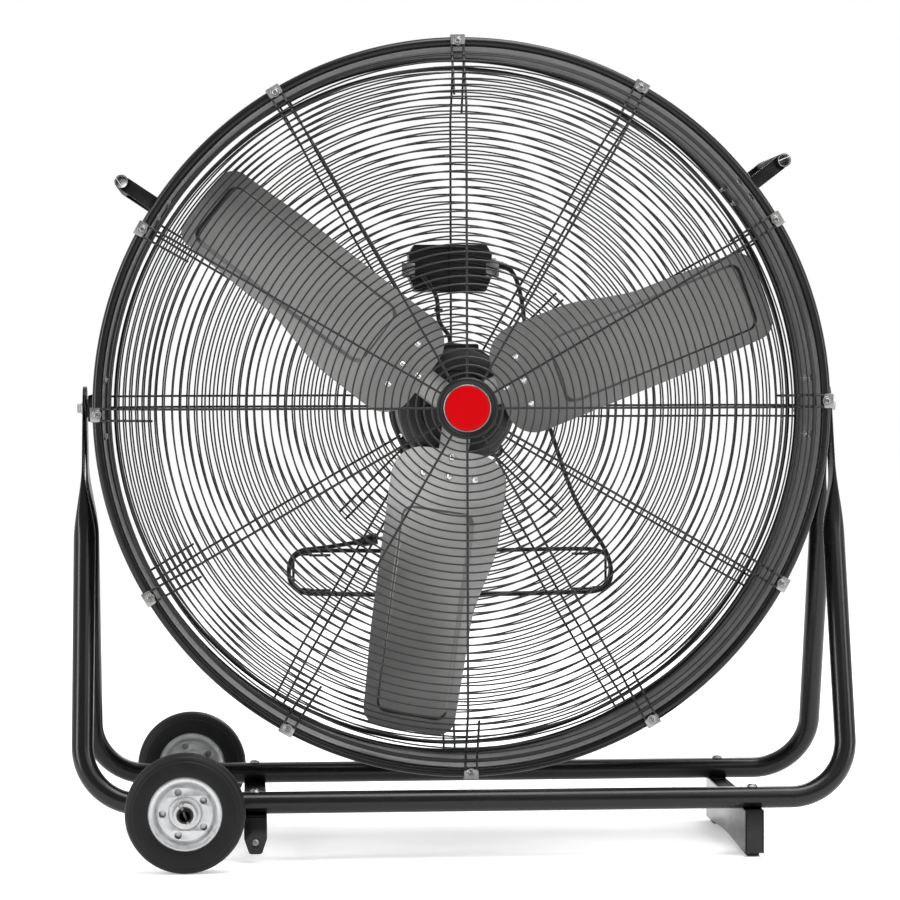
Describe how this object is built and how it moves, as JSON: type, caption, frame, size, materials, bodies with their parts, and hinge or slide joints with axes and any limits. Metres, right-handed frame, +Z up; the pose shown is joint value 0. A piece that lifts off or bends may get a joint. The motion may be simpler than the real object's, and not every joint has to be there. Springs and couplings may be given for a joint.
{
  "type": "pedestal fan",
  "caption": "Large tilting drum fan: a guarded drum with a bladed rotor, hung between the flattened ends of a wheeled tube stand, with grips, speed switch and wound cord.",
  "frame": {"origin": "on the floor, below the middle of the drum", "axes": "+Z up, the fan blows towards -Y, +X to the right seen from the front; Y, along the drum axis, is the shortest extent"},
  "size_m": [1.076, 0.588, 1.1257],
  "materials": {
    "black_powder_coat": "satin black powder coat",
    "drum_coat": "satin black powder coat, greyer in the light on the inside",
    "guard_wire": "satin black coated steel wire",
    "zinc": "bright zinc plating",
    "blade_aluminium": "satin sheet",
    "rivet": "bright",
    "cast_spider": "plain plate",
    "shaft_steel": "ground",
    "lamination": "stacked laminations",
    "copper": "varnished copper windings",
    "motor_paint": "satin black",
    "badge_plate": "dark grey pressed steel",
    "badge_red": "plain gloss red disc, no lettering",
    "galvanised": "galvanised wheel disc",
    "tyre": "solid black rubber",
    "foot_rubber": "black rubber",
    "hub_steel": "pressed steel hub",
    "box_paint": "black textured paint",
    "black_plastic": "black",
    "white_plastic": "white",
    "cord_jacket": "black flexible cord jacket",
    "spacer": "black friction washer"
  },
  "bodies": {
    "stand": {"front_frame": "black_powder_coat", "rear_frame": "black_powder_coat", "left_brace": "black_powder_coat", "foot_bar": "black_powder_coat", "foot_pads": "foot_rubber", "frame_screws": "zinc", "pivot_bolts": "zinc", "pivot_spacers": "spacer", "axle": "shaft_steel", "cotter_pins": "zinc", "axle_washers": "zinc"},
    "front_wheel": {"front_wheel_tyre": "tyre", "front_wheel_disc": "galvanised", "front_wheel_hub": "hub_steel"},
    "rear_wheel": {"rear_wheel_tyre": "tyre", "rear_wheel_disc": "galvanised", "rear_wheel_hub": "hub_steel"},
    "rotor": {"blade_1": "blade_aluminium", "blade_2": "blade_aluminium", "blade_3": "blade_aluminium", "blade_rivets": "rivet", "blade_spider": "cast_spider", "rotor_shaft": "shaft_steel", "rotor_core": "lamination"},
    "knob": {"switch_knob": "black_plastic"},
    "drum": {"drum_shell": "drum_coat", "pivot_brackets": "black_powder_coat", "bracket_screws": "zinc", "strap_screws": "zinc", "handle_straps": "black_powder_coat", "handle_grip_left": "black_powder_coat", "handle_grip_right": "black_powder_coat", "front_guard_rings": "guard_wire", "rear_guard_rings": "guard_wire", "front_guard_spokes": "guard_wire", "rear_guard_spokes": "guard_wire", "rear_guard_struts": "guard_wire", "guard_clips": "zinc", "guard_clip_screws": "zinc", "badge_plate": "badge_plate", "badge": "badge_red", "motor_mount_plate": "motor_paint", "motor_shell": "motor_paint", "motor_front_bell": "motor_paint", "motor_rear_bell": "motor_paint", "motor_bearings": "shaft_steel", "terminal_cover": "motor_paint", "stator_core": "lamination", "stator_windings": "copper", "motor_bolts": "zinc", "switch_box": "box_paint", "switch_box_lid": "box_paint", "cord_glands": "black_plastic", "switch_box_bracket": "zinc", "box_and_motor_screws": "zinc", "motor_lead": "cord_jacket", "cable_tie": "white_plastic", "cord_hooks": "guard_wire", "power_cord": "cord_jacket", "cord_plug": "black_plastic"}
  },
  "joints": [
    {"name": "drum_tilt", "type": "hinge", "parent": "stand", "child": "drum", "pos_m": [0, 0, 0.614], "axis": [1, 0, 0], "range_deg": [-90, 90]},
    {"name": "fan_spin", "type": "hinge", "parent": "drum", "child": "rotor", "pos_m": [0, 0, 0.614], "axis": [0, 1, 0], "continuous": true},
    {"name": "front_wheel_spin", "type": "hinge", "parent": "stand", "child": "front_wheel", "pos_m": [-0.382, -0.26, 0.08], "axis": [0, 1, 0], "continuous": true},
    {"name": "rear_wheel_spin", "type": "hinge", "parent": "stand", "child": "rear_wheel", "pos_m": [-0.382, 0.26, 0.08], "axis": [0, 1, 0], "continuous": true},
    {"name": "speed_switch", "type": "hinge", "parent": "drum", "child": "knob", "pos_m": [0, 0.23, 0.8155], "axis": [0, 1, 0], "range_deg": [-90, 90]}
  ]
}
